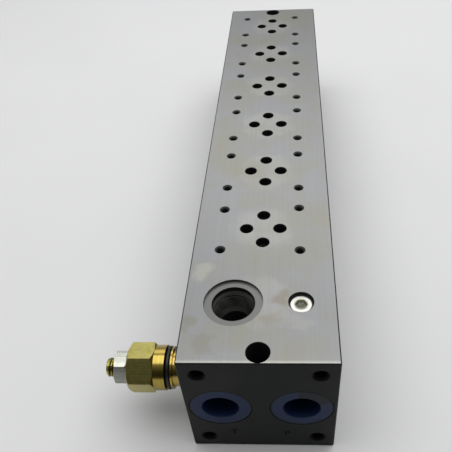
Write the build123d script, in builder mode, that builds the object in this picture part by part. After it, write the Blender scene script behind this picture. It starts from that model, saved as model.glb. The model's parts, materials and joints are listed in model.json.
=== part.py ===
"""Hydraulic manifold block for six subplate valves, with a relief valve and transit plugs.

A steel bar stands on its bottom face.  The pressure gallery P runs along its right half and the
tank gallery T along its left half, both at mid height and both drilled from the near end.  Six
valve stations on the top face tap the galleries through slanted drillings and send the work
lines A and B out of the left and right sides.  A relief valve is screwed into the left side near
the near end.  A second, empty cartridge cavity and a plugged gauge port open on the top there.

Millimetres.  Origin: centre of the bottom face.  +X right, +Y towards the far end, +Z up.
"""

import os
from math import cos, pi, radians, sin, tan

from build123d import *

os.makedirs("parts", exist_ok=True)

# ---------------------------------------------------------------- driving dimensions: the block
block_width = 71.0
block_length = 368.0
block_height = 73.0
edge_chamfer = 0.6

gallery_diameter = 12.0
gallery_offset = 19.0  # each gallery's axis, from the block's middle plane
gallery_far_wall = 24.0  # solid steel left beyond the blind end of a gallery
drill_point_angle = 118.0

main_port_minor = 18.6  # G1/2
main_port_thread_depth = 13.0
main_port_spotface = 30.0
main_port_spotface_depth = 1.5
main_port_mouth_chamfer = 0.6

mounting_hole = 11.0
mounting_hole_edge = 6.0  # axis to the nearest end face

end_bolt_minor = 6.8  # M8
end_bolt_depth = 16.0
end_bolt_spacing_x = 54.0
end_bolt_spacing_z = 55.0
end_bolt_countersink = 8.4

# ---------------------------------------------------------------- driving dimensions: the stations
station_count = 6
station_pitch = 50.0
last_station_from_far_end = 34.0
port_hole = 7.2
port_circle_half_length = 10.4  # P and T, along the block
port_circle_half_width = 8.75  # A and B, across the block
port_lead_in = 5.0  # straight mouth of a slanted drilling
slanted_drill = 6.0
valve_bolt_minor = 4.2  # M5
valve_bolt_depth = 13.0
valve_bolt_countersink = 5.6
left_bolt_offset = 21.5
left_bolt_spacing = 31.0
right_bolt_offset = 19.0
right_bolt_spacing = 32.5

work_port_minor = 14.95  # G3/8
work_port_thread_depth = 12.0
work_port_spotface = 25.0
work_port_spotface_depth = 0.8
work_port_drop = 16.5  # axis below the top face
work_port_drill = 8.5

# ---------------------------------------------------------------- driving dimensions: near-end row
cavity_row = 34.0  # empty cavity and gauge port, from the near end
cavity_offset = 12.5
cavity_spotface = 28.0
cavity_spotface_depth = 1.3
cavity_clearance_bore = 20.5
cavity_clearance_depth = 4.0
cavity_minor = 18.4  # M20 x 1.5
cavity_thread_depth = 13.0
cavity_nose_bore = 14.0
cavity_nose_depth = 26.0
cavity_drain_drill = 5.0
cavity_drain_shift_x = 3.5
cavity_drain_shift_y = 3.0
cavity_feed_drill = 5.0
cavity_feed_angle = 45.0

gauge_mouth = 12.1
gauge_mouth_depth = 1.8
gauge_plug_large = 10.6  # taper plug, at its outer face
gauge_plug_length = 8.0
gauge_plug_taper = 1.0 / 16.0  # on diameter
gauge_plug_socket = 5.0
gauge_plug_socket_depth = 4.0
gauge_plug_chamfer = 0.4
gauge_drill = 6.0

# ---------------------------------------------------------------- driving dimensions: relief valve
relief_row = 24.3  # axis, from the near end
relief_drop = 3.2  # axis below the galleries
relief_thread = 19.0  # pitch diameter of M20 x 1.5
relief_thread_reach = 9.5
relief_thread_runout = 1.0  # tapped on past the end of the valve's thread
relief_mouth_chamfer = 0.8
relief_chamber_bore = 15.6  # oil space where the valve crosses the tank gallery
relief_nose_bore = 14.0
relief_nose_length = 10.5  # past the tank gallery, down to the valve's end
relief_pilot_drill = 7.0

neck_diameter = 18.4
neck_length = 8.7
rim_thickness = 0.8
seal_band = 2.6
seal_seat_diameter = 16.6
seal_stand_proud = 0.3  # the seal's edge past the rim, radial
collar_diameter = 22.6
collar_length = 5.7
collar_edge_chamfer = 0.3
hex_across_flats = 22.0
hex_length = 13.5
hex_turn = 45.9  # the flats' angle round the axis, from the near end upwards
hex_end_chamfer = 1.1
nut_across_flats = 16.0
nut_height = 7.1
nut_turn = 27.9
nut_end_chamfer = 0.8
screw_thread = 9.03  # pitch diameter of M10 x 1.5
screw_stand_out = 4.6
screw_socket = 5.0
screw_socket_depth = 5.0
screw_tip_chamfer = 1.0

spigot_thread = 14.0
spigot_reach = 9.0
spring_chamber = 10.6
guide_bore = 10.0
guide_length = 9.0
guide_stand = 3.2  # top of the guide above the hexagon's lower face
guide_stem_diameter = 5.6
guide_stem_length = 3.0
guide_seal_section = 1.5
guide_seal_groove = 2.2
adjust_out = 2.0  # travel of the adjusting screw outwards from where it stands
stop_gap = 0.3

waist_diameter = 11.0
waist_window = 3.6
waist_window_height = 2.4  # centre above the waist's lower end
poppet_bore = 6.0
poppet_nose_diameter = 4.8
poppet_collar_diameter = 9.4
poppet_collar_length = 1.6
poppet_pip_diameter = 5.6
poppet_pip_length = 2.5
poppet_cone_half_angle = 30.0
seat_diameter = 9.0
seat_thickness = 3.4
seat_lip = 0.8
seat_hole = 4.2
nose_seal_section = 1.6
nose_seal_groove = 2.4
backup_ring_width = 1.2
nose_land = 2.0
nose_chamfer = 0.6
spring_wire = 1.5
spring_diameter = 9.2
spring_turns = 7.0

# ---------------------------------------------------------------- driving dimensions: transit plugs
plug_flange_thickness = 1.4
plug_flange_gap = 0.2  # radial, flange in its spotface
plug_bore = 17.4
plug_depth = 10.0
plug_floor = 1.0
plug_end_chamfer = 0.5
plug_lip_radius = 0.4

# ---------------------------------------------------------------- clearances
thread_gap = 0.05  # radial, between a pair of threads drawn as plain cylinders
running_gap = 0.05  # radial, between pieces that slide or turn
seal_gap = 0.03  # radial, each side of a seal
seating_gap = 0.02  # axial, where curved edges meet a flat seat

# ---------------------------------------------------------------- derived places
half_width = block_width / 2
half_length = block_length / 2
near_end = -half_length
far_end = half_length
gallery_height = block_height / 2
gallery_radius = gallery_diameter / 2
station_rows = [
    far_end - last_station_from_far_end - station_pitch * (station_count - 1 - i)
    for i in range(station_count)
]
cavity_y = near_end + cavity_row
relief_y = near_end + relief_row
relief_height = gallery_height - relief_drop
work_port_height = block_height - work_port_drop
drill_tip_slope = tan(radians(90 - drill_point_angle / 2))


def drilled(*steps):
    """A stepped drilling that opens upwards at the origin, as a solid to cut with.

    Each step is (radius, depth): straight down at that radius to that depth below the mouth.
    A step may give its own top radius first, (top_radius, radius, depth), for a cone.  The last
    step ends in the drill's point.
    """
    outline = [(0, 0)]
    depth_so_far = 0.0
    for step in steps:
        if (step[0], -depth_so_far) != outline[-1]:
            outline.append((step[0], -depth_so_far))
        outline.append((step[-2], -step[-1]))
        depth_so_far = step[-1]
    tip_radius = steps[-1][-2]
    outline.append((0, -depth_so_far - tip_radius * drill_tip_slope))
    with BuildPart() as form:
        with BuildSketch(Plane.XZ):
            with BuildLine():
                Polyline(*outline, close=True)
            make_face()
        revolve(axis=Axis.Z)
    return form.part


# The drillings, each mouth up at the origin.
main_port_radius = main_port_minor / 2
gallery_depth = block_length - gallery_far_wall
gallery_drilling = drilled(
    (main_port_spotface / 2, main_port_spotface_depth),
    (
        main_port_radius + main_port_mouth_chamfer,
        main_port_radius,
        main_port_spotface_depth + main_port_mouth_chamfer,
    ),
    (main_port_radius, main_port_thread_depth),
    (
        main_port_radius,
        gallery_radius,
        main_port_thread_depth + (main_port_radius - gallery_radius) * drill_tip_slope,
    ),
    (gallery_radius, gallery_depth),
)
end_bolt_drilling = drilled(
    (end_bolt_countersink / 2, end_bolt_minor / 2, (end_bolt_countersink - end_bolt_minor) / 2),
    (end_bolt_minor / 2, end_bolt_depth),
)
valve_bolt_drilling = drilled(
    (
        valve_bolt_countersink / 2,
        valve_bolt_minor / 2,
        (valve_bolt_countersink - valve_bolt_minor) / 2,
    ),
    (valve_bolt_minor / 2, valve_bolt_depth),
)
work_line_reach = half_width - port_circle_half_width
work_port_drilling = drilled(
    (work_port_spotface / 2, work_port_spotface_depth),
    (work_port_minor / 2, work_port_thread_depth),
    (
        work_port_minor / 2,
        work_port_drill / 2,
        work_port_thread_depth + (work_port_minor - work_port_drill) / 2 * drill_tip_slope,
    ),
    (work_port_drill / 2, work_line_reach),
)
work_hole_drilling = drilled((port_hole / 2, work_port_drop))
lead_in_drilling = drilled((port_hole / 2, port_lead_in))
cavity_ledge = (cavity_clearance_bore - cavity_minor) / 2
cavity_drilling = drilled(
    (cavity_spotface / 2, cavity_spotface_depth),
    (cavity_clearance_bore / 2, cavity_clearance_depth),
    (cavity_clearance_bore / 2, cavity_minor / 2, cavity_clearance_depth + cavity_ledge),
    (cavity_minor / 2, cavity_thread_depth),
    (
        cavity_minor / 2,
        cavity_nose_bore / 2,
        cavity_thread_depth + (cavity_minor - cavity_nose_bore) / 2,
    ),
    (cavity_nose_bore / 2, cavity_nose_depth),
)
gauge_plug_small = gauge_plug_large - gauge_plug_length * gauge_plug_taper
gauge_seat_depth = gauge_mouth_depth + gauge_plug_length
gauge_drilling = drilled(
    (gauge_mouth / 2, gauge_mouth_depth),
    (gauge_plug_large / 2 + thread_gap, gauge_plug_small / 2 + thread_gap, gauge_seat_depth),
    (gauge_drill / 2, block_height - gallery_height),
)
relief_thread_radius = relief_thread / 2 + thread_gap
relief_thread_depth = relief_thread_reach + relief_thread_runout
relief_chamber_depth = half_width - gallery_offset + gallery_radius
relief_nose_floor = relief_chamber_depth + relief_nose_length
relief_drilling = drilled(
    (
        relief_thread_radius + relief_mouth_chamfer,
        relief_thread_radius,
        relief_mouth_chamfer,
    ),
    (relief_thread_radius, relief_thread_depth),
    (relief_chamber_bore / 2, relief_chamber_depth),
    (relief_nose_bore / 2, relief_nose_floor),
    (relief_pilot_drill / 2, half_width + gallery_offset),
)


def slanted_line(start, end):
    """Plane across a slanted drilling at its start, and the drilling's length to its end."""
    run = Vector(*end) - Vector(*start)
    return Plane(origin=start, z_dir=run), run.length


# ---------------------------------------------------------------- manifold block
with BuildPart() as manifold_block:
    with Locations((0, 0, block_height / 2)):
        Box(block_width, block_length, block_height)
    chamfer(manifold_block.edges(), length=edge_chamfer)

    # Mounting holes, straight down at both ends.
    with Locations(
        (0, near_end + mounting_hole_edge, block_height),
        (0, far_end - mounting_hole_edge, block_height),
    ):
        Hole(mounting_hole / 2)

    # Galleries with their ports, and the tapped corners of the near end face.
    for side in (-1, 1):
        with Locations(
            Plane(
                origin=(side * gallery_offset, near_end, gallery_height),
                x_dir=(1, 0, 0),
                z_dir=(0, -1, 0),
            )
        ):
            add(gallery_drilling, mode=Mode.SUBTRACT)
    with Locations(
        Plane(origin=(0, near_end, gallery_height), x_dir=(1, 0, 0), z_dir=(0, -1, 0))
    ):
        with GridLocations(end_bolt_spacing_x, end_bolt_spacing_z, 2, 2):
            add(end_bolt_drilling, mode=Mode.SUBTRACT)

    # Stations.
    for row in station_rows:
        with Locations((-left_bolt_offset, row, block_height)):
            with GridLocations(1, left_bolt_spacing, 1, 2):
                add(valve_bolt_drilling, mode=Mode.SUBTRACT)
        with Locations((right_bolt_offset, row, block_height)):
            with GridLocations(1, right_bolt_spacing, 1, 2):
                add(valve_bolt_drilling, mode=Mode.SUBTRACT)
        with Locations((0, row, block_height)):
            with GridLocations(1, 2 * port_circle_half_length, 1, 2):
                add(lead_in_drilling, mode=Mode.SUBTRACT)
            with GridLocations(2 * port_circle_half_width, 1, 2, 1):
                add(work_hole_drilling, mode=Mode.SUBTRACT)
        # P is the far hole and slants right, T the near one and slants left.
        for side in (-1, 1):
            port_y = row + side * port_circle_half_length
            across, length = slanted_line(
                (0, port_y, block_height - port_lead_in),
                (side * gallery_offset, port_y, gallery_height),
            )
            with BuildSketch(across):
                Circle(slanted_drill / 2)
            extrude(amount=length, mode=Mode.SUBTRACT)
        # A leaves on the left, B on the right.
        for side in (-1, 1):
            with Locations(
                Plane(
                    origin=(side * half_width, row, work_port_height),
                    x_dir=(0, side, 0),
                    z_dir=(side, 0, 0),
                )
            ):
                add(work_port_drilling, mode=Mode.SUBTRACT)

    # Empty cartridge cavity: a slanted feed from P, a straight drain to T.
    with Locations((-cavity_offset, cavity_y, block_height)):
        add(cavity_drilling, mode=Mode.SUBTRACT)
    with Locations(
        (
            -cavity_offset - cavity_drain_shift_x,
            cavity_y + cavity_drain_shift_y,
            block_height - cavity_nose_depth,
        )
    ):
        Hole(cavity_drain_drill / 2, depth=block_height - cavity_nose_depth - gallery_height)
    feed_length = (gallery_offset + cavity_offset) / sin(radians(cavity_feed_angle))
    across, length = slanted_line(
        (gallery_offset, cavity_y, gallery_height),
        (
            gallery_offset - feed_length * sin(radians(cavity_feed_angle)),
            cavity_y,
            gallery_height + feed_length * cos(radians(cavity_feed_angle)),
        ),
    )
    with BuildSketch(across):
        Circle(cavity_feed_drill / 2)
    extrude(amount=length, mode=Mode.SUBTRACT)

    # Gauge port down to P, and the relief valve's cavity across T to P.
    with Locations((gallery_offset, cavity_y, block_height)):
        add(gauge_drilling, mode=Mode.SUBTRACT)
    with Locations(
        Plane(
            origin=(-half_width, relief_y, relief_height), x_dir=(0, -1, 0), z_dir=(-1, 0, 0)
        )
    ):
        add(relief_drilling, mode=Mode.SUBTRACT)
manifold_block.part.label = "manifold_block"

# ---------------------------------------------------------------- transit plugs in the main ports
plug_names = {-1: "port_plug_t", 1: "port_plug_p"}
plug_radius = main_port_radius - running_gap
plug_flange_radius = main_port_spotface / 2 - plug_flange_gap
plugs = []
for side, plug_name in plug_names.items():
    seat_y = near_end + main_port_spotface_depth
    with BuildPart() as port_plug:
        with BuildSketch(
            Plane(origin=(side * gallery_offset, seat_y, gallery_height), z_dir=(0, 1, 0))
        ):
            Circle(plug_flange_radius)
        extrude(amount=-plug_flange_thickness)
        with BuildSketch(port_plug.faces().sort_by(Axis.Y)[-1]):
            Circle(plug_radius)
        extrude(amount=plug_depth)
        chamfer(
            port_plug.edges().group_by(Axis.Y)[-1],
            length=plug_end_chamfer,
        )
        with BuildSketch(port_plug.faces().sort_by(Axis.Y)[0]):
            Circle(plug_bore / 2)
        extrude(amount=-(plug_flange_thickness + plug_depth - plug_floor), mode=Mode.SUBTRACT)
        fillet(port_plug.edges().group_by(Axis.Y)[0], radius=plug_lip_radius)
    port_plug.part.label = plug_name
    plugs.append(port_plug.part)

# ---------------------------------------------------------------- gauge port plug
gauge_plug_face = block_height - gauge_mouth_depth
with BuildPart() as gauge_port_plug:
    with BuildSketch(Plane.XY.offset(gauge_plug_face)):
        with Locations((gallery_offset, cavity_y)):
            Circle(gauge_plug_large / 2)
    with BuildSketch(Plane.XY.offset(gauge_plug_face - gauge_plug_length)):
        with Locations((gallery_offset, cavity_y)):
            Circle(gauge_plug_small / 2)
    loft()
    chamfer(
        gauge_port_plug.edges().filter_by(GeomType.CIRCLE),
        length=gauge_plug_chamfer,
    )
    with BuildSketch(Plane.XY.offset(gauge_plug_face)):
        with Locations((gallery_offset, cavity_y)):
            RegularPolygon(gauge_plug_socket / 2, 6, major_radius=False)
    extrude(amount=-gauge_plug_socket_depth, mode=Mode.SUBTRACT)
gauge_port_plug.part.label = "gauge_port_plug"

# ---------------------------------------------------------------- relief valve, about its own axis
# Every height below is measured outwards from the block's left face.
relief_mouth = (-half_width, relief_y, relief_height)
relief_axis = Axis(relief_mouth, (-1, 0, 0))
relief_profile = Plane(origin=relief_mouth, x_dir=(0, 1, 0), z_dir=(0, 0, 1))


def across_relief(height):
    """Plane across the relief valve's axis: local X towards the near end, local Y up."""
    return Plane(
        origin=(-half_width - height, relief_y, relief_height),
        x_dir=(0, -1, 0),
        z_dir=(-1, 0, 0),
    )


def turn(*outline, mode=Mode.ADD):
    """Revolve a closed outline of (radius, height) points about the relief valve's axis."""
    with BuildSketch(relief_profile) as section:
        with BuildLine():
            Polyline(*outline, close=True)
        make_face()
    revolve(section.sketch, axis=relief_axis, mode=mode)


def ring(radius, height, section_radius):
    """Revolve a round seal about the relief valve's axis."""
    with BuildSketch(relief_profile) as section:
        with Locations((radius, height)):
            Circle(section_radius)
    revolve(section.sketch, axis=relief_axis)


def chamfered_hexagon(across_flats, bottom, top, angle, end_chamfer, ends):
    """A hexagon bar whose corners are turned off at the named ends, 30 degrees to the end face."""
    with BuildSketch(across_relief(bottom)) as flats:
        RegularPolygon(across_flats / 2, 6, major_radius=False, rotation=angle - 30)
    extrude(flats.sketch, amount=top - bottom)
    corner = across_flats / 2 / cos(pi / 6)
    slope = tan(radians(30))
    start = across_flats / 2 - end_chamfer / 2
    rise = (corner - start) * slope
    outline = [(0, bottom)]
    outline += [(start, bottom), (corner, bottom + rise)] if "bottom" in ends else [(corner, bottom)]
    outline += [(corner, top - rise), (start, top)] if "top" in ends else [(corner, top)]
    outline += [(0, top)]
    turn(*outline, mode=Mode.INTERSECT)


rim_outer = neck_length + rim_thickness
rim_radius = seal_seat_diameter / 2 + seal_band - seal_stand_proud
collar_bottom = rim_outer + seal_band
hex_bottom = collar_bottom + collar_length
hex_top = hex_bottom + hex_length
nut_top = hex_top + nut_height
screw_top = nut_top + screw_stand_out
thread_bottom = -relief_thread_reach
waist_bottom = -relief_chamber_depth
nose_bottom = -relief_nose_floor
nose_radius = relief_nose_bore / 2 - running_gap
seat_bottom = nose_bottom + seat_lip
seat_top = seat_bottom + seat_thickness
spigot_bottom = rim_outer - spigot_reach
spigot_hole = spigot_thread / 2 + thread_gap
groove_top = waist_bottom - nose_land
groove_bottom = groove_top - nose_seal_groove - backup_ring_width
groove_radius = nose_radius - nose_seal_section
window_height = waist_bottom + waist_window_height

# Body: neck, thread, waist in the tank gallery, and a sealed nose that carries the seat.
with BuildPart() as relief_body:
    turn(
        (seat_hole / 2 + seat_lip, nose_bottom),
        (nose_radius - nose_chamfer, nose_bottom),
        (nose_radius, nose_bottom + nose_chamfer),
        (nose_radius, groove_bottom),
        (groove_radius, groove_bottom),
        (groove_radius, groove_top),
        (nose_radius, groove_top),
        (nose_radius, waist_bottom),
        (waist_diameter / 2, waist_bottom),
        (waist_diameter / 2, thread_bottom),
        (relief_thread / 2 - nose_chamfer, thread_bottom),
        (relief_thread / 2, thread_bottom + nose_chamfer),
        (relief_thread / 2, 0),
        (neck_diameter / 2, 0),
        (neck_diameter / 2, neck_length),
        (rim_radius, neck_length),
        (rim_radius, rim_outer),
        (spigot_hole, rim_outer),
        (spigot_hole, spigot_bottom),
        (spring_chamber / 2, spigot_bottom),
        (spring_chamber / 2, thread_bottom),
        (poppet_bore / 2, thread_bottom),
        (poppet_bore / 2, seat_top),
        (seat_diameter / 2, seat_top),
        (seat_diameter / 2, seat_bottom),
        (seat_hole / 2 + seat_lip, seat_bottom),
    )
    for window_plane in (
        Plane(origin=(-half_width - window_height, relief_y, relief_height), z_dir=(0, 1, 0)),
        Plane(origin=(-half_width - window_height, relief_y, relief_height), z_dir=(0, 0, 1)),
    ):
        with BuildSketch(window_plane):
            Circle(waist_window / 2)
        extrude(amount=waist_diameter, both=True, mode=Mode.SUBTRACT)
relief_body.part.label = "relief_body"

nose_section_radius = (relief_nose_bore / 2 - groove_radius) / 2 - seal_gap
with BuildPart() as nose_o_ring:
    ring(
        groove_radius + seal_gap + nose_section_radius,
        groove_bottom + nose_seal_groove / 2,
        nose_section_radius,
    )
nose_o_ring.part.label = "nose_o_ring"

with BuildPart() as nose_backup_ring:
    turn(
        (groove_radius + seal_gap, groove_top - backup_ring_width),
        (nose_radius, groove_top - backup_ring_width),
        (nose_radius, groove_top),
        (groove_radius + seal_gap, groove_top),
    )
nose_backup_ring.part.label = "nose_backup_ring"

with BuildPart() as valve_seat:
    turn(
        (seat_hole / 2, seat_bottom),
        (seat_diameter / 2 - seal_gap, seat_bottom),
        (seat_diameter / 2 - seal_gap, seat_top),
        (seat_hole / 2, seat_top),
    )
valve_seat.part.label = "valve_seat"

# Poppet: a cone on the seat's edge, a slim nose past the windows, a guided shank and a collar.
cone_slope = tan(radians(poppet_cone_half_angle))
cone_tip = seat_top + seating_gap - seat_hole / 2 / cone_slope
cone_top = cone_tip + poppet_nose_diameter / 2 / cone_slope
shank_bottom = window_height + waist_window / 2
shank_radius = poppet_bore / 2 - running_gap
poppet_collar_bottom = thread_bottom + stop_gap
poppet_collar_top = poppet_collar_bottom + poppet_collar_length
with BuildPart() as poppet:
    turn(
        (0, cone_tip),
        (poppet_nose_diameter / 2, cone_top),
        (poppet_nose_diameter / 2, shank_bottom),
        (shank_radius, shank_bottom + shank_radius - poppet_nose_diameter / 2),
        (shank_radius, poppet_collar_bottom),
        (poppet_collar_diameter / 2, poppet_collar_bottom),
        (poppet_collar_diameter / 2, poppet_collar_top),
        (poppet_pip_diameter / 2, poppet_collar_top),
        (poppet_pip_diameter / 2, poppet_collar_top + poppet_pip_length),
        (0, poppet_collar_top + poppet_pip_length),
    )
poppet.part.label = "poppet"

# Spring guide: a sealed piston between the spring and the adjusting screw.
guide_top = hex_bottom + guide_stand
guide_bottom = guide_top - guide_length
guide_radius = guide_bore / 2 - running_gap
guide_groove_radius = guide_radius - guide_seal_section
guide_groove_bottom = guide_bottom + (guide_length - guide_seal_groove) / 2
with BuildPart() as spring_guide:
    turn(
        (0, guide_bottom - guide_stem_length),
        (guide_stem_diameter / 2, guide_bottom - guide_stem_length),
        (guide_stem_diameter / 2, guide_bottom),
        (guide_radius, guide_bottom),
        (guide_radius, guide_groove_bottom),
        (guide_groove_radius, guide_groove_bottom),
        (guide_groove_radius, guide_groove_bottom + guide_seal_groove),
        (guide_radius, guide_groove_bottom + guide_seal_groove),
        (guide_radius, guide_top),
        (0, guide_top),
    )
spring_guide.part.label = "spring_guide"

guide_section_radius = (guide_bore / 2 - guide_groove_radius) / 2 - seal_gap
with BuildPart() as guide_o_ring:
    ring(
        guide_groove_radius + seal_gap + guide_section_radius,
        guide_groove_bottom + guide_seal_groove / 2,
        guide_section_radius,
    )
guide_o_ring.part.label = "guide_o_ring"

# Spring: a round wire wound from the poppet's collar to the guide, its ends ground flat.
spring_bottom = poppet_collar_top + seating_gap
spring_top = guide_bottom - seating_gap
spring_radius = (spring_diameter - spring_wire) / 2
spring_pitch = (spring_top - spring_bottom) / spring_turns
with BuildPart() as valve_spring:
    with BuildLine() as wire_path:
        Helix(
            pitch=spring_pitch,
            height=spring_top - spring_bottom,
            radius=spring_radius,
            center=(-half_width - spring_bottom, relief_y, relief_height),
            direction=(-1, 0, 0),
        )
    with BuildSketch(Plane(origin=wire_path.line @ 0, z_dir=wire_path.line % 0)):
        Circle(spring_wire / 2)
    sweep(is_frenet=True)
    turn(
        (0, spring_bottom),
        (spring_diameter, spring_bottom),
        (spring_diameter, spring_top),
        (0, spring_top),
        mode=Mode.INTERSECT,
    )
valve_spring.part.label = "valve_spring"

# Adjuster housing: hexagon, collar, seal seat and a threaded spigot, bored through.
screw_radius = screw_thread / 2
screw_bore = screw_radius + running_gap
bore_shoulder = guide_top + adjust_out + stop_gap
with BuildPart() as adjuster_housing:
    chamfered_hexagon(
        hex_across_flats, hex_bottom, hex_top, hex_turn, hex_end_chamfer, ("bottom", "top")
    )
    turn(
        (0, spigot_bottom),
        (spigot_thread / 2, spigot_bottom),
        (spigot_thread / 2, rim_outer),
        (seal_seat_diameter / 2, rim_outer),
        (seal_seat_diameter / 2, collar_bottom),
        (collar_diameter / 2 - collar_edge_chamfer, collar_bottom),
        (collar_diameter / 2, collar_bottom + collar_edge_chamfer),
        (collar_diameter / 2, hex_bottom),
        (0, hex_bottom),
    )
    turn(
        (0, spigot_bottom),
        (guide_bore / 2, spigot_bottom),
        (guide_bore / 2, bore_shoulder),
        (screw_bore, bore_shoulder),
        (screw_bore, hex_top),
        (0, hex_top),
        mode=Mode.SUBTRACT,
    )
adjuster_housing.part.label = "adjuster_housing"

housing_section_radius = seal_band / 2 - seal_gap
with BuildPart() as housing_o_ring:
    ring(
        seal_seat_diameter / 2 + seal_gap + housing_section_radius,
        rim_outer + seal_band / 2,
        housing_section_radius,
    )
housing_o_ring.part.label = "housing_o_ring"

with BuildPart() as lock_nut:
    chamfered_hexagon(
        nut_across_flats, hex_top, nut_top, nut_turn, nut_end_chamfer, ("bottom", "top")
    )
    turn(
        (0, hex_top),
        (screw_bore, hex_top),
        (screw_bore, nut_top),
        (0, nut_top),
        mode=Mode.SUBTRACT,
    )
lock_nut.part.label = "lock_nut"

screw_bottom = guide_top + seating_gap
with BuildPart() as adjusting_screw:
    turn(
        (0, screw_bottom),
        (screw_radius - screw_tip_chamfer, screw_bottom),
        (screw_radius, screw_bottom + screw_tip_chamfer),
        (screw_radius, screw_top - screw_tip_chamfer),
        (screw_radius - screw_tip_chamfer, screw_top),
        (0, screw_top),
    )
    with BuildSketch(across_relief(screw_top)):
        RegularPolygon(screw_socket / 2, 6, major_radius=False)
    extrude(amount=-screw_socket_depth, mode=Mode.SUBTRACT)
adjusting_screw.part.label = "adjusting_screw"

# ---------------------------------------------------------------- files
for piece in (
    manifold_block.part,
    *plugs,
    gauge_port_plug.part,
    relief_body.part,
    nose_o_ring.part,
    nose_backup_ring.part,
    valve_seat.part,
    poppet.part,
    spring_guide.part,
    guide_o_ring.part,
    valve_spring.part,
    adjuster_housing.part,
    housing_o_ring.part,
    lock_nut.part,
    adjusting_screw.part,
):
    export_step(piece, f"parts/{piece.label}.step")
    print(f"{piece.label}: {piece.volume:.1f} mm3, {len(piece.solids())} solid")
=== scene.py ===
# %% [markdown]
# # Dressing a hydraulic manifold block
#
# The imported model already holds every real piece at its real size: a drilled steel bar, two moulded
# transit plugs, a taper plug and a screw-adjusted relief valve. This script gives each piece its
# finish, adds the screw threads that are too fine for the solids, and sets up a plain studio.
# Everything is in metres in the model's own frame: the bar stands on z = 0 and runs along y.

import json
from math import pi, radians

import bmesh
import bpy
import numpy as np
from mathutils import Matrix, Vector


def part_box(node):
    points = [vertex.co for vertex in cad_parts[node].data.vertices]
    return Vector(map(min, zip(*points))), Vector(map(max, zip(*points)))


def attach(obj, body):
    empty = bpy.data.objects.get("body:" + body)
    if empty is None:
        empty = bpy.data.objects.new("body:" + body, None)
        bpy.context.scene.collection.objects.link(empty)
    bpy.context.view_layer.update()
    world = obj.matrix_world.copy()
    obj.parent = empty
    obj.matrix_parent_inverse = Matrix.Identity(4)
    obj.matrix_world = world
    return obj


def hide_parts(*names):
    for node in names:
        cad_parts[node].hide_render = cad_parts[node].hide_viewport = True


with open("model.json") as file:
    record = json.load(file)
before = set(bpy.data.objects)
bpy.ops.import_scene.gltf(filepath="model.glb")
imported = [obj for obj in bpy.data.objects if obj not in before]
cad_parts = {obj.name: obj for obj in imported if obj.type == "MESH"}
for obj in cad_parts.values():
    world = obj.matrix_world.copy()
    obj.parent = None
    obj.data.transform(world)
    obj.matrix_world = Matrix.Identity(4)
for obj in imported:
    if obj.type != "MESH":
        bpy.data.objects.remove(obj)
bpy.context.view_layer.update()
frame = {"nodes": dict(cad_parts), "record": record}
nodes = frame["nodes"]
mounts = {mount["name"]: mount for mount in frame["record"]["mounts"]}
scene = bpy.context.scene
mm = 0.001
print("nodes:", len(nodes), "mounts:", len(mounts))

# %% [markdown]
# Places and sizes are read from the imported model: a node's box, or a mount's position. Only sizes
# that belong to a thread or a finish are written down in this file.

# %% Where the block's features are
stations = range(1, 7)
low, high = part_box("manifold_block")
top_face, near_face = high.z, low.y
cavity_x, cavity_y = mounts["cartridge_cavity"]["pos_m"][:2]
station_rows = [mounts[f"station_{i}_bolts_left"]["pos_m"][1] for i in stations]
station_pitch = station_rows[1] - station_rows[0]
screw_low, screw_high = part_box("adjusting_screw")
valve_y, valve_z = (screw_low.y + screw_high.y) / 2, (screw_low.z + screw_high.z) / 2
print("top face at", round(top_face, 4), "stations at", [round(y, 3) for y in station_rows])

# %% [markdown]
# ## Node helpers
#
# A material is a small graph. One function adds a node, sets its properties, and fills each input
# with a plain value, or with a link from another node. Colours are written as sRGB hex values, as
# a paint chart gives them, and one function turns them into the linear light that Cycles needs.


# %% Colours and nodes
def linear(hex_colour):
    """sRGB hex to linear RGBA: c / 12.92 up to 0.04045, else ((c + 0.055) / 1.055) ** 2.4."""
    channels = np.array([int(hex_colour[i : i + 2], 16) for i in (1, 3, 5)]) / 255
    light = np.where(channels <= 0.04045, channels / 12.92, ((channels + 0.055) / 1.055) ** 2.4)
    return (*light.tolist(), 1.0)


def add_node(tree, kind, inputs=None, **settings):
    """Adds one node; an input takes a plain value, a socket, or another node's first output."""
    node = tree.nodes.new(kind)
    for name, value in settings.items():
        setattr(node, name, value)
    for socket, value in (inputs or {}).items():
        if isinstance(value, bpy.types.Node):
            value = value.outputs[0]
        if isinstance(value, bpy.types.NodeSocket):
            tree.links.new(value, node.inputs[socket])
        else:
            node.inputs[socket].default_value = value
    return node


def new_material(name):
    """An empty material: the material, its tree, its shader and the Object coordinate."""
    material = bpy.data.materials.new(name)
    material.use_nodes = True
    tree = material.node_tree
    tree.nodes.clear()
    shader = add_node(tree, "ShaderNodeBsdfPrincipled")
    add_node(tree, "ShaderNodeOutputMaterial", {"Surface": shader})
    place = add_node(tree, "ShaderNodeTexCoord").outputs["Object"]
    return material, tree, shader, place


def per(size_mm):
    """The texture scale that makes a pattern's feature about this many millimetres wide."""
    return 1 / (size_mm * mm)


def dress(material, *names):
    """Puts one material on every face of the named nodes."""
    for name in names:
        nodes[name].data.materials.clear()
        nodes[name].data.materials.append(material)


print("linear mid grey:", round(linear("#808080")[0], 3))

# %% [markdown]
# ## Camera
#
# The block is seen from its near end, from above and a little to the right, close enough that the
# bar narrows strongly towards its far end. The lens is moderately wide for a square frame, and a
# small shift keeps the long edges as steep as they should be.

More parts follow.
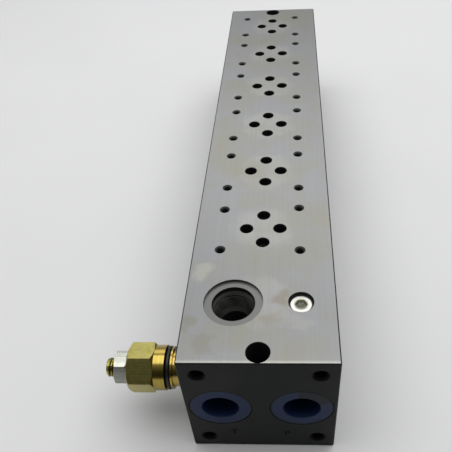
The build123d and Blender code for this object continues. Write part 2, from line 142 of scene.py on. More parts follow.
# %% Camera
camera_data = bpy.data.cameras.new("studio_camera")
camera_data.lens = 44.687
camera_data.shift_x = -0.0736
camera_data.shift_y = 0.0624
camera_data.clip_start = 0.01
camera = bpy.data.objects.new("studio_camera", camera_data)
camera.location = (0.01449, -0.31668, 0.27248)
camera.rotation_euler = [radians(angle) for angle in (44.775, 2.584, 2.004)]
scene.collection.objects.link(camera)
scene.camera = camera
print("camera", round(camera.location.length, 3), "m from the frame's origin")

# %% [markdown]
# ## Studio
#
# A workshop product shot: a pale matt sheet under the part, one large soft lamp overhead and one
# behind. The room is bright behind the part and dim in front of it. Facets that lean back
# reflect the bright side, and facets that face the front reflect little and go dark.

# %% World and floor
scene.view_settings.view_transform = "Standard"
world = bpy.data.worlds.new("plain_room")
world.use_nodes = True
scene.world = world
tree = world.node_tree
tree.nodes.clear()
sky = add_node(tree, "ShaderNodeTexCoord").outputs["Generated"]
back_and_up = add_node(
    tree, "ShaderNodeVectorMath", {0: sky, 1: (0.0, 0.8, 0.6)}, operation="DOT_PRODUCT"
).outputs["Value"]
glow = add_node(
    tree,
    "ShaderNodeMapRange",
    {"Value": back_and_up, "From Min": -0.5, "From Max": 0.95, "To Min": 0.035, "To Max": 0.52},
    interpolation_type="SMOOTHSTEP",
)
room = add_node(tree, "ShaderNodeBackground", {"Color": linear("#fbfcff"), "Strength": glow})
add_node(tree, "ShaderNodeOutputWorld", {"Surface": room})

corners = [(x * 3.0, y * 3.0, low.z - 0.2 * mm) for x, y in ((-1, -1), (1, -1), (1, 1), (-1, 1))]
floor_mesh = bpy.data.meshes.new("paper_floor")
floor_mesh.from_pydata(corners, [], [(0, 1, 2, 3)])
floor = bpy.data.objects.new("paper_floor", floor_mesh)
scene.collection.objects.link(floor)
paper, tree, shader, place = new_material("matt_paper_sheet")
fibre = add_node(tree, "ShaderNodeTexNoise", {"Vector": place, "Scale": per(120), "Detail": 2.0})
tint = add_node(
    tree, "ShaderNodeMix", {0: fibre, 6: linear("#dcdcdc"), 7: linear("#e2e2e2")}, data_type="RGBA"
)
tree.links.new(tint.outputs[2], shader.inputs["Base Color"])
shader.inputs["Roughness"].default_value = 0.9
shader.inputs["Specular IOR Level"].default_value = 0.2
floor_mesh.materials.append(paper)
print("floor", corners[2][0] - corners[0][0], "m wide")

# %% Lamps
lamps = {
    "overhead_softbox": ((0.0, 0.0, 1.1), (0.0, 0.0, 0.0), (1.7, 0.9), 9.5),
    "back_softbox": ((0.2, 0.85, 0.85), (0.0, 0.1, 0.0), (1.4, 0.6), 4.0),
}
for lamp_name, (spot, aim, size, watts) in lamps.items():
    lamp_data = bpy.data.lights.new(lamp_name, "AREA")
    lamp_data.shape = "RECTANGLE"
    lamp_data.size, lamp_data.size_y = size
    lamp_data.energy = watts
    lamp = bpy.data.objects.new(lamp_name, lamp_data)
    lamp.location = spot
    direction = type(low)(aim) - type(low)(spot)
    lamp.rotation_euler = direction.to_track_quat("-Z", "Y").to_euler()
    scene.collection.objects.link(lamp)
print("lamps:", ", ".join(lamps))

# %% [markdown]
# ## The block: ground on top, phosphated elsewhere
#
# The bar is manganese phosphated: a thin crystal coat that turns steel nearly black and drinks
# light. The valve face is then surface ground, so it is bare, and the cartridge cavity is bored
# last, so its walls are bare too, though darker. One material holds all three finishes and picks
# by place: what lies in the top plane is ground, what lies within the cavity's radius and below
# the top plane is bored. The long chamfers start below the top plane and stay dark.

# %% Block material: where each finish lies
grinding_depth, bored_radius, bored_depth = 0.02 * mm, 14.3 * mm, 19 * mm
block_steel, tree, shader, place = new_material("phosphated_steel_with_ground_top")
axes = add_node(tree, "ShaderNodeSeparateXYZ", {0: place})
ground = add_node(
    tree, "ShaderNodeMath", {0: axes.outputs["Z"], 1: top_face - grinding_depth}, operation="GREATER_THAN"
)
flat_place = add_node(tree, "ShaderNodeCombineXYZ", {"X": axes.outputs["X"], "Y": axes.outputs["Y"]})
from_cavity = add_node(
    tree, "ShaderNodeVectorMath", {0: flat_place, 1: (cavity_x, cavity_y, 0.0)}, operation="DISTANCE"
).outputs["Value"]
in_cavity = add_node(tree, "ShaderNodeMath", {0: from_cavity, 1: bored_radius}, operation="LESS_THAN")
above_drill = add_node(
    tree, "ShaderNodeMath", {0: axes.outputs["Z"], 1: top_face - bored_depth}, operation="GREATER_THAN"
)
bored = add_node(tree, "ShaderNodeMath", {0: in_cavity, 1: above_drill}, operation="MULTIPLY")
bare = add_node(tree, "ShaderNodeMath", {0: ground, 1: bored}, operation="MAXIMUM")
print("ground above z =", round(top_face - grinding_depth, 5))

# %% [markdown]
# Oil holes and bolt holes are drilled before grinding, and a deburring tool breaks their edges, so
# the coat is thin just below the top plane inside each hole. That pale rim fades out by 1.5 mm
# down. The outer faces of the bar are kept out of it.

# %% Block material: rims of the holes
rim_depth = 1.5 * mm
across = add_node(tree, "ShaderNodeMath", {0: axes.outputs["X"]}, operation="ABSOLUTE")
along = add_node(tree, "ShaderNodeMath", {0: axes.outputs["Y"]}, operation="ABSOLUTE")
inside_x = add_node(tree, "ShaderNodeMath", {0: across, 1: high.x - 0.8 * mm}, operation="LESS_THAN")
inside_y = add_node(tree, "ShaderNodeMath", {0: along, 1: high.y - 0.45 * mm}, operation="LESS_THAN")
inside = add_node(tree, "ShaderNodeMath", {0: inside_x, 1: inside_y}, operation="MULTIPLY")
rim = add_node(
    tree,
    "ShaderNodeMapRange",
    {
        "Value": axes.outputs["Z"],
        "From Min": top_face - rim_depth,
        "From Max": top_face - 0.1 * mm,
        "To Max": 0.45,
    },
    interpolation_type="SMOOTHSTEP",
)
thin_coat = add_node(tree, "ShaderNodeMath", {0: rim, 1: inside}, operation="MULTIPLY")
steel_share = add_node(tree, "ShaderNodeMath", {0: bare, 1: thin_coat}, operation="MAXIMUM")
print("rim depth", round(rim_depth / mm, 2), "mm")

# %% [markdown]
# The ground face is wiped with oil, which leaves a faint warm film in patches. Round each set of
# four oil holes the seals of a valve have kept it clean: a soft pale disc. The stations repeat at
# one pitch, so the distance to the nearest set comes from a modulo of y.

# %% Block material: ground face, oil film and clean discs
first_cell = station_rows[0] - station_pitch / 2
phase = add_node(tree, "ShaderNodeMath", {0: axes.outputs["Y"], 1: first_cell}, operation="SUBTRACT")
row_phase = add_node(tree, "ShaderNodeMath", {0: phase, 1: station_pitch}, operation="FLOORED_MODULO")
row_y = add_node(tree, "ShaderNodeMath", {0: row_phase, 1: station_pitch / 2}, operation="SUBTRACT")
row_place = add_node(tree, "ShaderNodeCombineXYZ", {"X": axes.outputs["X"], "Y": row_y})
from_row = add_node(tree, "ShaderNodeVectorMath", {0: row_place}, operation="LENGTH").outputs["Value"]
ragged = add_node(tree, "ShaderNodeTexNoise", {"Vector": place, "Scale": per(9), "Detail": 3.0})
ragged_mm = add_node(tree, "ShaderNodeMath", {0: ragged, 1: 12 * mm}, operation="MULTIPLY")
disc_edge = add_node(tree, "ShaderNodeMath", {0: ragged_mm, 1: from_row}, operation="ADD")
disc = add_node(
    tree,
    "ShaderNodeMapRange",
    {"Value": disc_edge, "From Min": 18 * mm, "From Max": 25 * mm, "To Min": 1.0, "To Max": 0.0},
    interpolation_type="SMOOTHSTEP",
)
film_noise = add_node(
    tree, "ShaderNodeTexNoise", {"Vector": place, "Scale": per(38), "Detail": 5.0, "Roughness": 0.62}
)
film = add_node(tree, "ShaderNodeMapRange", {"Value": film_noise, "From Min": 0.42, "From Max": 0.7})
clean = add_node(
    tree, "ShaderNodeMix", {0: disc, 6: linear("#88898a"), 7: linear("#929290")}, data_type="RGBA"
).outputs[2]
oiled = add_node(
    tree, "ShaderNodeMix", {0: film, 6: clean, 7: linear("#87867c")}, data_type="RGBA"
).outputs[2]
print("station pitch", round(station_pitch / mm, 2), "mm")

# %% [markdown]
# Handling has left a few stains near the port end, where the bar is lifted: brown ones, and pale
# ones where the oil is gone. Each is a disc with an uneven edge, from its own row of the table:
# x and y from the near end, radius, strength and colour. A painted highlight lightens the near edge.

# %% Block material: stains and the painted edge highlight
uneven = add_node(tree, "ShaderNodeTexNoise", {"Vector": place, "Scale": per(7), "Detail": 4.0}).outputs[1]
uneven_mm = add_node(tree, "ShaderNodeVectorMath", {0: uneven, "Scale": 14 * mm}, operation="SCALE")
centred = add_node(tree, "ShaderNodeVectorMath", {0: uneven_mm, 1: (7 * mm,) * 3}, operation="SUBTRACT")
smudged = add_node(tree, "ShaderNodeVectorMath", {0: place, 1: centred}, operation="ADD")
stains = [
    (8.6, 36, 7, 0.55, "#7b7263"),
    (5, 24, 6, 0.35, "#7f7767"),
    (-25, 11, 8, 0.45, "#7a7668"),
    (-32, 22, 6, 0.4, "#77735f"),
    (-29, 52, 8, 0.5, "#a6a69a"),
    (19, 22, 6, 0.25, "#a3a39a"),
]
stained = oiled
for x, y, size, strength, tone in stains:
    spot = (x * mm, near_face + y * mm, top_face)
    away = add_node(
        tree, "ShaderNodeVectorMath", {0: smudged, 1: spot}, operation="DISTANCE"
    ).outputs["Value"]
    blot = add_node(
        tree,
        "ShaderNodeMapRange",
        {
            "Value": away,
            "From Min": 0.35 * size * mm,
            "From Max": size * mm,
            "To Min": strength,
            "To Max": 0.0,
        },
        interpolation_type="SMOOTHSTEP",
    )
    stained = add_node(
        tree, "ShaderNodeMix", {0: blot, 6: stained, 7: linear(tone)}, data_type="RGBA"
    ).outputs[2]
# Painted highlight: the top face is lightened along its near edge.
edge_highlight = add_node(
    tree,
    "ShaderNodeMapRange",
    {
        "Value": axes.outputs["Y"],
        "From Min": near_face + 0.8 * mm,
        "From Max": near_face + 2.2 * mm,
        "To Min": 0.8,
        "To Max": 0.0,
    },
)
with_edge_highlight = add_node(
    tree, "ShaderNodeMix", {0: edge_highlight, 6: stained, 7: linear("#b4b3ac")}, data_type="RGBA"
).outputs[2]
print("stains:", len(stains))

# %% [markdown]
# Grinding marks are a noise squeezed to under a millimetre across the bar and stretched along it.
# They move the colour a little and the surface a very little. The bored cavity is darker steel, with
# painted shade on its walls below the faced ring and a painted highlight on the ledge above the
# thread. The phosphate coat has a fine even grain with slightly greyer rubbed patches, and the
# corner bolt holes are painted near black as painted shade: x and z folded about the face's middle
# put all four on one point, so one distance finds them.

# %% Block material: marks, bore, coat and shader
stretched = add_node(tree, "ShaderNodeMapping", {"Vector": place, "Scale": (1.0, 0.012, 1.0)})
marks = add_node(tree, "ShaderNodeTexNoise", {"Vector": stretched, "Scale": per(0.7), "Detail": 2.0})
mark_depth = add_node(
    tree, "ShaderNodeMapRange", {"Value": marks, "From Min": 0.35, "From Max": 0.65, "To Max": 0.16}
)
marked = add_node(
    tree, "ShaderNodeMix", {0: mark_depth, 6: with_edge_highlight, 7: linear("#767672")}, data_type="RGBA"
).outputs[2]
# Painted shade: the bore's walls turn darker below the faced ring.
depth = add_node(
    tree,
    "ShaderNodeMapRange",
    {"Value": axes.outputs["Z"], "From Min": top_face - 1.9 * mm, "From Max": top_face - 1.5 * mm},
)
shaded_bore_walls = add_node(
    tree, "ShaderNodeMix", {0: depth, 6: linear("#585955"), 7: linear("#6e6f6d")}, data_type="RGBA"
).outputs[2]
# Painted highlight: the ledge above the thread is painted lighter than its walls.
ledge = add_node(
    tree,
    "ShaderNodeMath",
    {0: axes.outputs["Z"], 1: top_face - 5.3 * mm, 2: 0.12 * mm},
    operation="COMPARE",
)
bore = add_node(
    tree, "ShaderNodeMix", {0: ledge, 6: shaded_bore_walls, 7: linear("#b4b5b0")}, data_type="RGBA"
).outputs[2]
metal = add_node(tree, "ShaderNodeMix", {0: ground, 6: bore, 7: marked}, data_type="RGBA").outputs[2]
corner = mounts["end_bolts"]
half_x, half_z = (corner["dims"][key] * mm / 2 for key in ("spacing_x_mm", "spacing_y_mm"))
corner_x = add_node(tree, "ShaderNodeMath", {0: across, 1: half_x}, operation="SUBTRACT")
above = add_node(
    tree, "ShaderNodeMath", {0: axes.outputs["Z"], 1: corner["pos_m"][2]}, operation="SUBTRACT"
)
rise = add_node(tree, "ShaderNodeMath", {0: above}, operation="ABSOLUTE")
corner_z = add_node(tree, "ShaderNodeMath", {0: rise, 1: half_z}, operation="SUBTRACT")
corner_place = add_node(tree, "ShaderNodeCombineXYZ", {"X": corner_x, "Y": corner_z})
from_corner = add_node(tree, "ShaderNodeVectorMath", {0: corner_place}, operation="LENGTH").outputs["Value"]
# Painted shade: the coat within 4 mm of each corner bolt hole's axis is painted near black.
hole_shade = add_node(tree, "ShaderNodeMath", {0: from_corner, 1: 4.0 * mm}, operation="LESS_THAN")
rub_noise = add_node(tree, "ShaderNodeTexNoise", {"Vector": place, "Scale": per(22), "Detail": 4.0})
rub = add_node(tree, "ShaderNodeMapRange", {"Value": rub_noise, "From Min": 0.4, "From Max": 0.75})
dry = add_node(
    tree, "ShaderNodeMix", {0: rub, 6: linear("#1f2120"), 7: linear("#2a2b29")}, data_type="RGBA"
).outputs[2]
coat = add_node(tree, "ShaderNodeMix", {0: hole_shade, 6: dry, 7: linear("#080908")}, data_type="RGBA").outputs[2]
colour = add_node(tree, "ShaderNodeMix", {0: steel_share, 6: coat, 7: metal}, data_type="RGBA").outputs[2]
tree.links.new(colour, shader.inputs["Base Color"])
metallic = add_node(tree, "ShaderNodeMath", {0: steel_share, 1: 0.85}, operation="MULTIPLY")
tree.links.new(metallic.outputs[0], shader.inputs["Metallic"])
roughness = add_node(tree, "ShaderNodeMapRange", {"Value": steel_share, "To Min": 0.62, "To Max": 0.35})
tree.links.new(roughness.outputs[0], shader.inputs["Roughness"])
shader.inputs["Specular IOR Level"].default_value = 0.16
crystal = add_node(tree, "ShaderNodeTexNoise", {"Vector": place, "Scale": per(0.35), "Detail": 2.0})
height = add_node(tree, "ShaderNodeMix", {0: ground, 2: crystal, 3: marks})
bump = add_node(tree, "ShaderNodeBump", {"Height": height, "Strength": 0.25, "Distance": 0.02 * mm})
tree.links.new(bump.outputs[0], shader.inputs["Normal"])
dress(block_steel, "manifold_block")
print("block material:", len(tree.nodes), "nodes")

# %% [markdown]
# ## Plated steel
#
# The relief valve's housing, body and screw are free-cutting steel, zinc plated and passivated
# yellow. The film is thin and uneven, so its colour drifts between straw, olive and a little pink.
# What was turned is golden and glossy, with fine rings round the axis; what was left as drawn
# hexagon bar is paler, with long faint lines. The housing is both, so its material changes at the
# x where the hexagon ends. The nut is the same steel with a clear, bright passivation.

# %% Plated steel
rings = (1.0, 0.03, 0.03)  # fine along the valve's axis, so marks read as rings round it
lines = (0.03, 1.0, 1.0)  # long along the axis


def plated_steel(name, tones, marks_scale, mark_mm, roughness, bump_strength, turned_from=None):
    """Plated steel whose colour drifts through three tones.

    Marks run where marks_scale is small. Past x = turned_from the tones turn golden, the marks
    become rings and the surface is smoother.
    """
    material, tree, shader, place = new_material(name)
    drift = add_node(tree, "ShaderNodeTexNoise", {"Vector": place, "Scale": per(6), "Detail": 3.0})
    ramp = add_node(tree, "ShaderNodeValToRGB", {0: drift})
    ramp.color_ramp.elements[0].position = 0.32
    ramp.color_ramp.elements[0].color = linear(tones[0])
    ramp.color_ramp.elements[1].position = 0.68
    ramp.color_ramp.elements[1].color = linear(tones[2])
    ramp.color_ramp.elements.new(0.5).color = linear(tones[1])
    worked = add_node(tree, "ShaderNodeMapping", {"Vector": place, "Scale": marks_scale})
    marks = add_node(tree, "ShaderNodeTexNoise", {"Vector": worked, "Scale": per(mark_mm), "Detail": 2.0})
    base = ramp
    gloss = add_node(
        tree,
        "ShaderNodeMapRange",
        {"Value": drift, "To Min": roughness - 0.05, "To Max": roughness + 0.05},
    )
    if turned_from is not None:
        x = add_node(tree, "ShaderNodeSeparateXYZ", {0: place})
        turned = add_node(tree, "ShaderNodeMath", {0: x, 1: turned_from}, operation="GREATER_THAN")
        base = add_node(
            tree, "ShaderNodeMix", {0: turned, 6: ramp, 7: linear("#a8944a")}, data_type="RGBA"
        ).outputs[2]
        ringed = add_node(tree, "ShaderNodeMapping", {"Vector": place, "Scale": rings})
        ring_marks = add_node(
            tree, "ShaderNodeTexNoise", {"Vector": ringed, "Scale": per(0.4), "Detail": 2.0}
        )
        marks = add_node(tree, "ShaderNodeMix", {0: turned, 2: marks, 3: ring_marks})
        gloss = add_node(tree, "ShaderNodeMix", {0: turned, 2: gloss, 3: 0.2})
    shade = add_node(
        tree,
        "ShaderNodeMapRange",
        {"Value": marks, "From Min": 0.3, "From Max": 0.7, "To Min": 0.85, "To Max": 1.1},
    )
    colour = add_node(tree, "ShaderNodeVectorMath", {0: base, "Scale": shade}, operation="SCALE")
    tree.links.new(colour.outputs[0], shader.inputs["Base Color"])
    tree.links.new(gloss.outputs[0], shader.inputs["Roughness"])
    shader.inputs["Metallic"].default_value = 1.0
    bump = add_node(
        tree, "ShaderNodeBump", {"Height": marks, "Strength": bump_strength, "Distance": 0.02 * mm}
    )
    tree.links.new(bump.outputs[0], shader.inputs["Normal"])
    return material


hexagon_length = 13.5 * mm
hexagon_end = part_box("adjuster_housing")[0].x + hexagon_length
golden = ("#a08a40", "#b39e52", "#a98e58")
turned_yellow = plated_steel("yellow_zinc_turned", golden, rings, 0.25, 0.2, 0.3)
drawn_yellow = plated_steel(
    "yellow_zinc_drawn_bar", ("#b3a75b", "#c0b76b", "#b0a162"), lines, 0.5, 0.33, 0.2, hexagon_end
)
bright_nut = plated_steel("bright_zinc", ("#b6b7ad", "#bfc0b5", "#b1b2a8"), lines, 0.6, 0.12, 0.15)
dress(turned_yellow, "relief_body")
dress(drawn_yellow, "adjuster_housing")
dress(bright_nut, "lock_nut")
print("hexagon ends at x =", round(hexagon_end, 4))

# %% [markdown]
# The taper plug in the gauge port is bright zinc as well. Thread sealant and old oil have
# collected in its socket and round the socket's mouth, so the middle is olive grey.

# %% Taper plug
plug_low, plug_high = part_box("gauge_port_plug")
plug_steel, tree, shader, place = new_material("bright_zinc_taper_plug")
middle = ((plug_low.x + plug_high.x) / 2, (plug_low.y + plug_high.y) / 2, plug_high.z)
away = add_node(tree, "ShaderNodeVectorMath", {0: place, 1: middle}, operation="DISTANCE").outputs["Value"]
grease = add_node(
    tree,
    "ShaderNodeMapRange",
    {"Value": away, "From Min": 2.8 * mm, "From Max": 3.7 * mm, "To Min": 0.85, "To Max": 0.0},
    interpolation_type="SMOOTHSTEP",
)
zinc = add_node(
    tree, "ShaderNodeMix", {0: grease, 6: linear("#d6d6cf"), 7: linear("#77745a")}, data_type="RGBA"
)
tree.links.new(zinc.outputs[2], shader.inputs["Base Color"])
shader.inputs["Metallic"].default_value = 0.9
shader.inputs["Roughness"].default_value = 0.38
dress(plug_steel, "gauge_port_plug")
print("taper plug at", [round(value, 4) for value in middle])

# %% [markdown]
# ## Rubber, plastic and the hidden pieces
#
# The seals are moulded nitrile, slightly oily. The backup ring is white PTFE, the seat, poppet and
# guide are hardened and ground, and the spring is oiled wire.


# %% Moulded and hardened finishes
def fine_finish(name, dark, light, grain_mm, roughness, metallic=0.0, specular=0.5):
    """A nearly even finish: colour and bump follow one fine noise of the named grain."""
    material, tree, shader, place = new_material(name)
    grain = add_node(tree, "ShaderNodeTexNoise", {"Vector": place, "Scale": per(grain_mm), "Detail": 3.0})
    colour = add_node(
        tree, "ShaderNodeMix", {0: grain, 6: linear(dark), 7: linear(light)}, data_type="RGBA"
    )
    tree.links.new(colour.outputs[2], shader.inputs["Base Color"])
    shader.inputs["Roughness"].default_value = roughness
    shader.inputs["Metallic"].default_value = metallic
    shader.inputs["Specular IOR Level"].default_value = specular
    bump = add_node(tree, "ShaderNodeBump", {"Height": grain, "Strength": 0.3, "Distance": 0.02 * mm})
    tree.links.new(bump.outputs[0], shader.inputs["Normal"])
    return material


nitrile = fine_finish("moulded_nitrile", "#0f0e0c", "#1a1915", 0.6, 0.4)
ptfe = fine_finish("cut_ptfe", "#dcdcd6", "#eeeeea", 0.8, 0.5)
hardened = fine_finish("hardened_and_ground_steel", "#8b8c8e", "#a5a6a7", 0.3, 0.28, 1.0)
spring_wire = fine_finish("oiled_spring_wire", "#3a3b3e", "#55565a", 0.5, 0.32, 1.0)
dress(nitrile, "housing_o_ring", "nose_o_ring", "guide_o_ring")
dress(ptfe, "nose_backup_ring")
dress(hardened, "valve_seat", "poppet", "spring_guide")
dress(spring_wire, "valve_spring")
print("seals and valve insides dressed")

# %% [markdown]
# The transit plugs are dark blue moulded polyethylene with a soft sheen. Painted shade darkens the
# cup and the narrow gap round each flange, and shop dirt lies on part of the pressure port's flange,
# up and right of its middle. Each is a distance from a point on the plug's face.


# %% Transit plugs
flange_edge, cup_radius = 13.9 * mm, 8.6 * mm


def moulded_plug(name, middle_x, middle_z, smear):
    """Blue polyethylene with painted shade by the rim and in the cup, and a dirt smear of a given strength.
    """
    material, tree, shader, place = new_material(name)
    axes = add_node(tree, "ShaderNodeSeparateXYZ", {0: place})
    face = add_node(tree, "ShaderNodeCombineXYZ", {"X": axes.outputs["X"], "Z": axes.outputs["Z"]})
    grain = add_node(tree, "ShaderNodeTexNoise", {"Vector": place, "Scale": per(1.4), "Detail": 3.0})
    blue = add_node(
        tree, "ShaderNodeMix", {0: grain, 6: linear("#152444"), 7: linear("#1a2d54")}, data_type="RGBA"
    ).outputs[2]
    away = add_node(
        tree, "ShaderNodeVectorMath", {0: face, 1: (middle_x, 0.0, middle_z)}, operation="DISTANCE"
    ).outputs["Value"]
    # Painted shade: a dark line round the flange's edge stands for the shade in the gap.
    rim_gap_shade = add_node(
        tree,
        "ShaderNodeMapRange",
        {"Value": away, "From Min": flange_edge, "From Max": flange_edge + 0.4 * mm},
    )
    # Painted shade: the inside of the cup is darkened.
    cup = add_node(tree, "ShaderNodeMath", {0: away, 1: cup_radius}, operation="LESS_THAN")
    cup_shade = add_node(tree, "ShaderNodeMath", {0: cup, 1: 0.85}, operation="MULTIPLY")
    wavy = add_node(tree, "ShaderNodeTexNoise", {"Vector": place, "Scale": per(8), "Detail": 3.0}).outputs[0]
    smear_spot = (middle_x + 6.5 * mm, 0.0, middle_z + 12 * mm)
    near_smear = add_node(
        tree, "ShaderNodeVectorMath", {0: face, 1: smear_spot}, operation="DISTANCE"
    ).outputs["Value"]
    ragged = add_node(tree, "ShaderNodeMath", {0: wavy, 1: 5 * mm}, operation="MULTIPLY")
    smear_edge = add_node(tree, "ShaderNodeMath", {0: near_smear, 1: ragged}, operation="ADD")
    dirt = add_node(
        tree,
        "ShaderNodeMapRange",
        {"Value": smear_edge, "From Min": 10 * mm, "From Max": 11.5 * mm, "To Min": smear, "To Max": 0.0},
    )
    rim_shade_and_smear = add_node(tree, "ShaderNodeMath", {0: rim_gap_shade, 1: dirt}, operation="MAXIMUM")
    shade_and_dirt = add_node(tree, "ShaderNodeMath", {0: rim_shade_and_smear, 1: cup_shade}, operation="MAXIMUM")
    # One dark colour serves both the painted shade and the dirt smear.
    colour = add_node(tree, "ShaderNodeMix", {0: shade_and_dirt, 6: blue, 7: linear("#0f1110")}, data_type="RGBA")
    tree.links.new(colour.outputs[2], shader.inputs["Base Color"])
    shader.inputs["Roughness"].default_value = 0.5
    shader.inputs["Specular IOR Level"].default_value = 0.2
    return material


for letter, smear in (("t", 0.0), ("p", 0.8)):
    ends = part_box(f"port_plug_{letter}")
    middle_x, middle_z = (ends[0].x + ends[1].x) / 2, (ends[0].z + ends[1].z) / 2
    plastic = moulded_plug(f"moulded_polyethylene_{letter}", middle_x, middle_z, smear)
    dress(plastic, f"port_plug_{letter}")
print("all nodes dressed")

# %% [markdown]
# ## Threads
#
# A screw thread is one ridge wound along a cylinder. On a grid of (turn angle, height), its radius
# depends only on the phase height / pitch - angle / 360 degrees: a 60 degree V with flattened crest
# and root. The same formula makes the open tapped holes and the adjusting screw.


# %% Thread formula, grid faces and finishing
def thread_wave(angle, height, pitch):
    """Share of a thread's height, 0 at the root and 1 at the crest.

    The phase is height / pitch - angle / 2 pi, kept between 0 and 1. The wave is a triangle of
    that phase with both ends cut off, so that crest and root are flat.
    """
    phase = np.mod(height / pitch - angle / (2 * pi), 1.0)
    triangle = 1 - np.abs(2 * phase - 1)
    return np.clip((triangle - 0.14) / 0.72, 0, 1)


def ring_faces(ring_count, point_count, closed):
    """Quads of a grid of rings: each ring joins round, and closed joins the last to the first."""
    index = np.arange(ring_count * point_count).reshape(ring_count, point_count)
    start = index if closed else index[:-1]
    follow = np.roll(index, -1, axis=0) if closed else index[1:]
    quads = [start, np.roll(start, -1, axis=1), np.roll(follow, -1, axis=1), follow]
    return np.stack(quads, axis=-1).reshape(-1, 4)


def finish_piece(name, vertices, faces, body, material):
    """A mesh object, welded, facing outwards, smooth up to 30 degrees, riding on its body."""
    mesh = bpy.data.meshes.new(name)
    mesh.from_pydata(np.asarray(vertices).tolist(), [], np.asarray(faces).tolist())
    sheet = bmesh.new()
    sheet.from_mesh(mesh)
    bmesh.ops.remove_doubles(sheet, verts=sheet.verts, dist=0.002 * mm)
    bmesh.ops.dissolve_degenerate(sheet, edges=sheet.edges, dist=0.002 * mm)
    bmesh.ops.recalc_face_normals(sheet, faces=sheet.faces)
    sheet.to_mesh(mesh)
    sheet.free()
    mesh.shade_smooth()
    mesh.set_sharp_from_angle(angle=radians(30))
    mesh.materials.append(material)
    piece = bpy.data.objects.new(name, mesh)
    scene.collection.objects.link(piece)
    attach(piece, body)
    return piece


print("wave at crest and root:", thread_wave(0.0, np.array([0.5, 0.0]), 1.0))

# %% [markdown]
# ### Tapped holes
#
# In the solids a tapped hole is a plain bore at the thread's inner diameter. A thin sleeve with the
# ridge on its inside lines each one. Its back is buried in the wall, so only the ridge shows, and
# the ridge fades out over the first and last half turn as a tapped thread does. The ridge is drawn
# a little into the bore, by less than half the real thread's height.


# %% Tapped sleeves
sleeve_wall = 0.3 * mm


def tapped_sleeve(mouth, axis, bore_radius, pitch, length, ridge, points, steps):
    """Rings of a sleeve from the mouth inwards: ridged inside, plain and buried outside.

    Inner radius = bore_radius - ridge * wave * fade, outer radius = bore_radius + sleeve_wall,
    both carried along the axis from the mouth.
    """
    height = np.linspace(0, length, int(length / pitch * steps) + 1)
    angle = np.arange(points) * 2 * pi / points
    fade = np.clip(np.minimum(height, length - height) / (0.5 * pitch), 0, 1)[:, None]
    inner = bore_radius - 0.01 * mm - ridge * thread_wave(angle[None], height[:, None], pitch) * fade
    inner = np.where(fade > 0, inner, bore_radius + 0.05 * mm)
    radius = np.vstack([inner, np.full((2, points), bore_radius + sleeve_wall)])
    depth = np.concatenate([height, [length, 0.0]])
    inwards = -np.asarray(axis, float)
    side = np.cross(inwards, [0.3, 0.5, 0.8])
    side /= np.linalg.norm(side)
    around = np.cos(angle)[:, None] * side + np.sin(angle)[:, None] * np.cross(inwards, side)
    return np.asarray(mouth) + depth[:, None, None] * inwards + radius[..., None] * around[None]


def tapped_holes(name, mouths, axis, bore_radius, pitch, length, ridge, points=48, steps=7):
    """One object with a sleeve in each hole of a family."""
    sleeves = [
        tapped_sleeve(mouth, axis, bore_radius, pitch, length, ridge, points, steps) for mouth in mouths
    ]
    ring_count = sleeves[0].shape[0]
    quads = ring_faces(ring_count, points, closed=True)
    faces = np.vstack([quads + i * ring_count * points for i in range(len(sleeves))])
    vertices = np.vstack([sleeve.reshape(-1, 3) for sleeve in sleeves])
    return finish_piece(name, vertices, faces, "block", block_steel)


cavity_mouth = (cavity_x, cavity_y, top_face - 5.35 * mm)
made = [
    tapped_holes(
        "cavity_thread",
        [cavity_mouth],
        (0, 0, 1),
        bore_radius=9.2 * mm,
        pitch=1.5 * mm,
        length=12.5 * mm,
        ridge=0.6 * mm,
        points=96,
        steps=8,
    )
]
print("cavity thread:", len(made[0].data.polygons), "faces")

# %% [markdown]
# The other families are placed from the record's mounts: twelve G 3/8 ports in the sides, four M5
# holes round each station, and four M8 holes in the near end's corners.

# %% Work ports, station bolts and corner bolts
for side_letter in ("a", "b"):
    ports = [mounts[f"work_port_{side_letter}{i}"] for i in stations]
    axis, size = np.array(ports[0]["axis"]), ports[0]["dims"]
    length = size["length_mm"] * mm
    mouths = [np.array(port["pos_m"]) + axis * length / 2 for port in ports]
    name = f"work_port_threads_{side_letter}"
    made.append(
        tapped_holes(
            name,
            mouths,
            axis,
            bore_radius=size["r_mm"] * mm,
            pitch=1.337 * mm,
            length=length - 0.2 * mm,
            ridge=0.5 * mm,
        )
    )
bolt_mouths = []
for name, mount in mounts.items():
    if name.startswith("station_"):
        x, y, z = mount["pos_m"]
        spread = mount["dims"]["spacing_y_mm"] * mm / 2
        bolt_mouths += [(x, y + side * spread, top_face - 0.75 * mm) for side in (-1, 1)]
made.append(
    tapped_holes(
        "station_bolt_threads",
        bolt_mouths,
        (0, 0, 1),
        bore_radius=2.1 * mm,
        pitch=0.8 * mm,
        length=6.4 * mm,
        ridge=0.3 * mm,
        points=28,
        steps=6,
    )
)
corner_mouths = [
    (side * half_x, near_face + 0.85 * mm, corner["pos_m"][2] + rise * half_z)
    for side in (-1, 1)
    for rise in (-1, 1)
]
made.append(
    tapped_holes(
        "corner_bolt_threads",
        corner_mouths,
        (0, -1, 0),
        bore_radius=3.4 * mm,
        pitch=1.25 * mm,
        length=10 * mm,
        ridge=0.42 * mm,
        points=32,
        steps=6,
    )
)
print("sleeves:", {piece.name: len(piece.data.polygons) for piece in made})
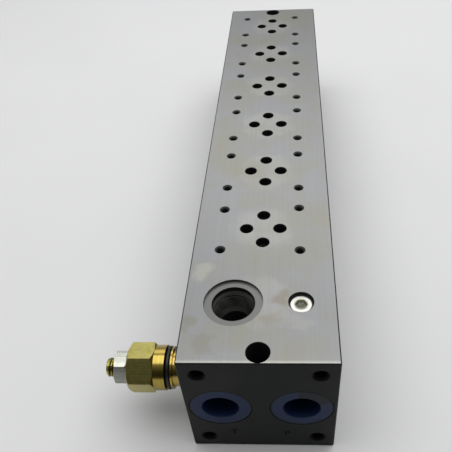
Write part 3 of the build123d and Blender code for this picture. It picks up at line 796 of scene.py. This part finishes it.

# %% [markdown]
# ### Adjusting screw
#
# A set screw M10 with a hexagon socket. It is one closed surface of rings round the valve's axis:
# from the middle of the inner end, over the thread and the chamfered tip, across the tip's face,
# then down the socket, whose rings follow a hexagon instead of a circle: radius = half the width
# across flats / cos(angle from the nearest flat). Only the outer end has ridges, as far in as can
# ever stand out of the nut. Faces deeper than the pitch diameter take a second material, a dark
# painted shade in the thread's roots.

# %% Threaded adjusting screw
screw_length = screw_high.x - screw_low.x
core = (screw_high.y - screw_low.y) / 2
screw_pitch, ridged_length = 1.5 * mm, 7.6 * mm
socket_half_width, socket_depth = 2.5 * mm, 5.0 * mm
crest, root = core + 0.42 * mm, core - 0.43 * mm
points = 96
angle = np.arange(points) * 2 * pi / points
height = np.linspace(0, screw_length, int(screw_length / screw_pitch * 12) + 1)[:, None]
ridged = root + (crest - root) * thread_wave(angle[None], height, screw_pitch)
threaded = np.where(height < screw_length - ridged_length, core - 0.02 * mm, ridged)
threaded = np.minimum(threaded, core - 0.5 * mm + (screw_length - height))
threaded = np.minimum(threaded, core - 1.0 * mm + height)
hexagon = socket_half_width / np.cos(np.mod(angle + pi / 6, pi / 3) - pi / 6)
socket_end = screw_length - socket_depth
radius = np.vstack([np.zeros(points), threaded, hexagon + 0.25 * mm, hexagon, hexagon, np.zeros(points)])
reach = [screw_length, screw_length - 0.2 * mm, socket_end, socket_end - 1.2 * mm]
reach = np.concatenate([[0], height[:, 0], reach])[:, None] + np.zeros(points)
rows = np.stack(
    [screw_high.x - reach, valve_y + radius * np.cos(angle), valve_z + radius * np.sin(angle)], axis=-1
)
rolled_tones = ("#b0a85c", "#c2b96b", "#b0a162")
rolled = plated_steel("yellow_zinc_rolled_thread", rolled_tones, rings, 0.25, 0.24, 0.2)
screw = finish_piece(
    "adjusting_screw_threaded",
    rows.reshape(-1, 3),
    ring_faces(len(rows), points, closed=False),
    "adjusting_screw",
    rolled,
)
# Painted shade: the thread's roots take a dark material.
root_shade = fine_finish("grimed_thread_root", "#262013", "#38311d", 0.5, 0.5, 0.6)
screw.data.materials.append(root_shade)
centres = np.array([face.center for face in screw.data.polygons])
deep = np.hypot(centres[:, 1] - valve_y, centres[:, 2] - valve_z) < core - 0.12 * mm
deep &= centres[:, 0] > screw_low.x + 0.7 * mm
screw.data.polygons.foreach_set("material_index", deep.astype(np.int32))
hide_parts("adjusting_screw")
print("adjusting screw:", len(screw.data.polygons), "faces")

# %% [markdown]
# ## Port letters
#
# The two main ports are stamped P for pressure and T for tank, as on any such block. The shade in
# each stamped recess is painted: each letter is a nearly black film that stands a hundredth of a
# millimetre out.
# It starts as a text curve, becomes a mesh, and then its vertices are moved into place.

# %% Stamped P and T
# Painted shade: each letter is a nearly black film standing for its shaded recess.
recess_shade = fine_finish("stamped_recess", "#050505", "#0a0a0a", 0.8, 0.7, 0.0, 0.05)
letters = {"T": (-14.0 * mm, top_face - 59.3 * mm), "P": (12.1 * mm, top_face - 60.4 * mm)}
for letter, (x, z) in letters.items():
    text = bpy.data.curves.new(f"letter_{letter}", "FONT")
    text.body = letter
    text.size = 5.8 * mm
    text.align_x, text.align_y = "CENTER", "CENTER"
    text.extrude = 0.01 * mm
    text.offset = 0.12 * mm
    holder = bpy.data.objects.new("text_holder", text)
    scene.collection.objects.link(holder)
    outline = bpy.data.meshes.new_from_object(holder)
    bpy.data.objects.remove(holder)
    flat = np.array([vertex.co for vertex in outline.vertices])
    placed = np.stack([x + flat[:, 0], near_face - flat[:, 2], z + flat[:, 1]], axis=-1)
    faces = [list(polygon.vertices) for polygon in outline.polygons]
    name = f"stamped_letter_{letter.lower()}"
    mesh = bpy.data.meshes.new(name)
    mesh.from_pydata(placed.tolist(), [], faces)
    mesh.materials.append(recess_shade)
    piece = bpy.data.objects.new(name, mesh)
    scene.collection.objects.link(piece)
    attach(piece, "block")
print("letters stamped:", ", ".join(letters))
